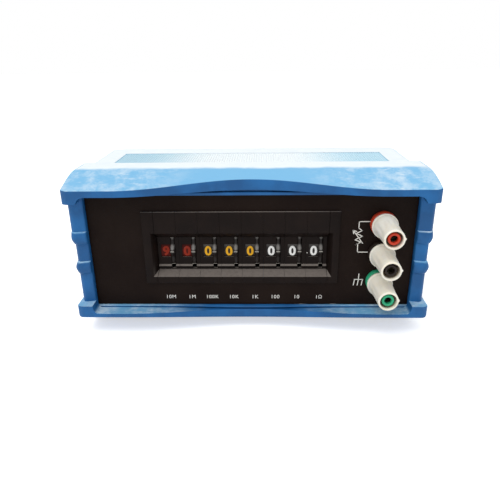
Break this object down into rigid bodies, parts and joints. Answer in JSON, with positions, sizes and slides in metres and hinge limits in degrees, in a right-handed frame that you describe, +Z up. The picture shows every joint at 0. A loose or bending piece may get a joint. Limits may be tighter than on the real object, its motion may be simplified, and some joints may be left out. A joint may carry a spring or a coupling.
{
  "type": "decade resistance box",
  "caption": "Bench box with a two-shell blue case, a black front panel, a bank of thumbwheel switches that dials a resistance, and screw-down binding posts.",
  "frame": {"origin": "on the table under the middle of the box, at the centre of the bounding box's underside", "axes": "+X to the right along the front, +Z up, the front panel faces -Y"},
  "size_m": [0.209, 0.1138, 0.0989],
  "materials": {
    "blue_plastic": "moulded ABS, satin, bleached and scuffed on its upper faces",
    "panel_black": "fine textured black paint on aluminium sheet",
    "switch_black": "moulded, satin",
    "wheel_black": "semi-gloss, with printed figures",
    "board_green": "lacquered glass-fibre board",
    "plated_steel": "zinc plated",
    "rubber": "matt",
    "nickel": "nickel plated, dulled",
    "cream_plastic": "satin, slightly yellowed",
    "red_plastic": "satin",
    "black_plastic": "satin",
    "green_plastic": "satin"
  },
  "bodies": {
    "case": {"base_cover": "blue_plastic", "black_collar": "black_plastic", "black_nut": "nickel", "black_socket_tip": "black_plastic", "black_stud": "nickel", "body_sleeve": "blue_plastic", "case_screw_1": "plated_steel", "case_screw_2": "plated_steel", "case_screw_3": "plated_steel", "case_screw_4": "plated_steel", "decade_board_1": "board_green", "decade_board_2": "board_green", "decade_board_3": "board_green", "decade_board_4": "board_green", "decade_board_5": "board_green", "decade_board_6": "board_green", "decade_board_7": "board_green", "decade_board_8": "board_green", "foot_1": "rubber", "foot_2": "rubber", "foot_3": "rubber", "foot_4": "rubber", "front_panel": "panel_black", "green_collar": "green_plastic", "green_nut": "nickel", "green_socket_tip": "green_plastic", "green_stud": "nickel", "left_cheek": "switch_black", "lower_tie_rod": "plated_steel", "rear_panel": "panel_black", "red_collar": "red_plastic", "red_nut": "nickel", "red_socket_tip": "red_plastic", "red_stud": "nickel", "right_cheek": "switch_black", "switch_housing_1": "switch_black", "switch_housing_2": "switch_black", "switch_housing_3": "switch_black", "switch_housing_4": "switch_black", "switch_housing_5": "switch_black", "switch_housing_6": "switch_black", "switch_housing_7": "switch_black", "switch_housing_8": "switch_black", "top_cover": "blue_plastic", "upper_tie_rod": "plated_steel"},
    "wheel_1": {"thumbwheel_1": "wheel_black"},
    "wheel_2": {"thumbwheel_2": "wheel_black"},
    "wheel_3": {"thumbwheel_3": "wheel_black"},
    "wheel_4": {"thumbwheel_4": "wheel_black"},
    "wheel_5": {"thumbwheel_5": "wheel_black"},
    "wheel_6": {"thumbwheel_6": "wheel_black"},
    "wheel_7": {"thumbwheel_7": "wheel_black"},
    "wheel_8": {"thumbwheel_8": "wheel_black"},
    "red_clamp": {"red_clamp_ring": "nickel"},
    "red_thumb": {"red_cap": "cream_plastic"},
    "black_clamp": {"black_clamp_ring": "nickel"},
    "black_thumb": {"black_cap": "cream_plastic"},
    "green_clamp": {"green_clamp_ring": "nickel"},
    "green_thumb": {"green_cap": "cream_plastic"}
  },
  "joints": [
    {"name": "wheel_1_turn", "type": "hinge", "parent": "case", "child": "wheel_1", "pos_m": [-0.05017, -0.01225, 0.0486], "axis": [1, 0, 0], "continuous": true},
    {"name": "wheel_2_turn", "type": "hinge", "parent": "case", "child": "wheel_2", "pos_m": [-0.03747, -0.01225, 0.0486], "axis": [1, 0, 0], "continuous": true},
    {"name": "wheel_3_turn", "type": "hinge", "parent": "case", "child": "wheel_3", "pos_m": [-0.02477, -0.01225, 0.0486], "axis": [1, 0, 0], "continuous": true},
    {"name": "wheel_4_turn", "type": "hinge", "parent": "case", "child": "wheel_4", "pos_m": [-0.01207, -0.01225, 0.0486], "axis": [1, 0, 0], "continuous": true},
    {"name": "wheel_5_turn", "type": "hinge", "parent": "case", "child": "wheel_5", "pos_m": [0.00063, -0.01225, 0.0486], "axis": [1, 0, 0], "continuous": true},
    {"name": "wheel_6_turn", "type": "hinge", "parent": "case", "child": "wheel_6", "pos_m": [0.01333, -0.01225, 0.0486], "axis": [1, 0, 0], "continuous": true},
    {"name": "wheel_7_turn", "type": "hinge", "parent": "case", "child": "wheel_7", "pos_m": [0.02603, -0.01225, 0.0486], "axis": [1, 0, 0], "continuous": true},
    {"name": "wheel_8_turn", "type": "hinge", "parent": "case", "child": "wheel_8", "pos_m": [0.03873, -0.01225, 0.0486], "axis": [1, 0, 0], "continuous": true},
    {"name": "red_clamp_slide", "type": "slide", "parent": "case", "child": "red_clamp", "axis": [0, -1, 0], "range_m": [0, 0.004]},
    {"name": "red_cap_turn", "type": "hinge", "parent": "red_clamp", "child": "red_thumb", "pos_m": [0.0761, -0.03395, 0.068], "axis": [0, -1, 0], "range_deg": [0, 1440]},
    {"name": "black_clamp_slide", "type": "slide", "parent": "case", "child": "black_clamp", "axis": [0, -1, 0], "range_m": [0, 0.004]},
    {"name": "black_cap_turn", "type": "hinge", "parent": "black_clamp", "child": "black_thumb", "pos_m": [0.0761, -0.03395, 0.0499], "axis": [0, -1, 0], "range_deg": [0, 1440]},
    {"name": "green_clamp_slide", "type": "slide", "parent": "case", "child": "green_clamp", "axis": [0, -1, 0], "range_m": [0, 0.004]},
    {"name": "green_cap_turn", "type": "hinge", "parent": "green_clamp", "child": "green_thumb", "pos_m": [0.0761, -0.03395, 0.0318], "axis": [0, -1, 0], "range_deg": [0, 1440]}
  ],
  "couplings": [
    {"joint": "red_cap_turn", "follows": "red_clamp_slide", "rad_per_m": 6283.2},
    {"joint": "black_cap_turn", "follows": "black_clamp_slide", "rad_per_m": 6283.2},
    {"joint": "green_cap_turn", "follows": "green_clamp_slide", "rad_per_m": 6283.2}
  ]
}
